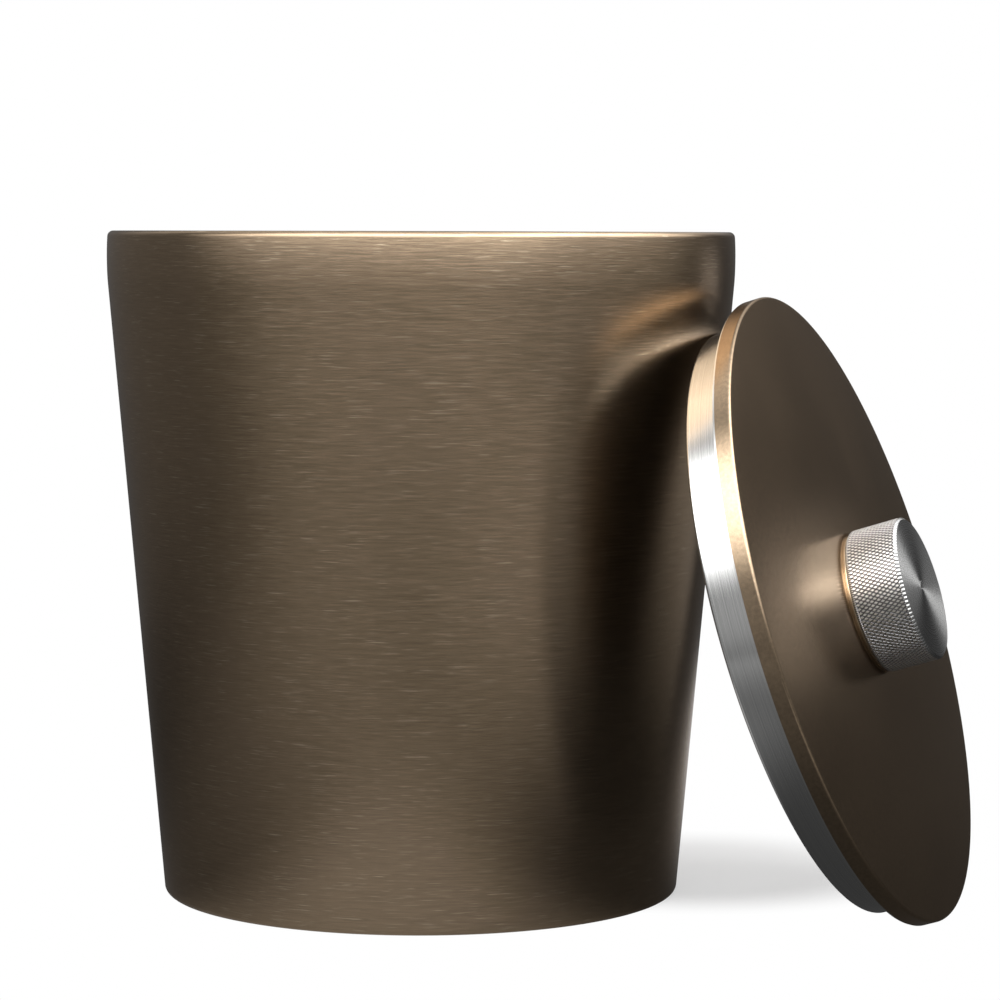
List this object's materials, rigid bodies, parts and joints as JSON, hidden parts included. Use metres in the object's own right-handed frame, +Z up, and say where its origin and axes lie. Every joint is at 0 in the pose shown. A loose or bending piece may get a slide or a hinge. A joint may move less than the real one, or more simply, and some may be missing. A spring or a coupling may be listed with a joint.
{
  "type": "ice bucket",
  "caption": "Double-walled insulated ice bucket with a tapered bronze-coloured shell and steel liner, and a lift-off plug lid with a knurled knob, leaning against its side.",
  "frame": {"origin": "centre of the bucket's base pad, on the floor", "axes": "+Z up along the bucket's axis, out of its mouth; the lid leans on the +X side, a little towards -Y"},
  "size_m": [0.2797, 0.2404, 0.2115],
  "materials": {
    "bronze_steel": "bronze-coloured stainless steel, brushed on the bucket and satin on the lid",
    "steel": "satin stainless steel",
    "knob_steel": "bright turned steel, knurled on its side",
    "dark_steel": "plain steel",
    "rubber": "matt black rubber",
    "foam": "white insulating foam",
    "glass": "fused solder glass"
  },
  "bodies": {
    "bucket": {"outer_shell": "bronze_steel", "inner_liner": "steel", "seal_bead": "glass", "getter": "dark_steel", "getter_clip": "steel", "base_cover": "dark_steel", "base_pad": "rubber"},
    "lid": {"lid_cap": "bronze_steel", "lid_pan": "steel", "lid_core": "foam", "knob": "knob_steel", "knob_collar": "bronze_steel", "knob_seal": "rubber", "backing_washer": "dark_steel", "lock_washer": "dark_steel", "knob_screw": "dark_steel"}
  },
  "joints": [
    {"name": "lid_lift", "type": "slide", "parent": "bucket", "child": "lid", "axis": [0.8916, -0.3387, 0.3007], "range_m": [0, 0.15]}
  ]
}
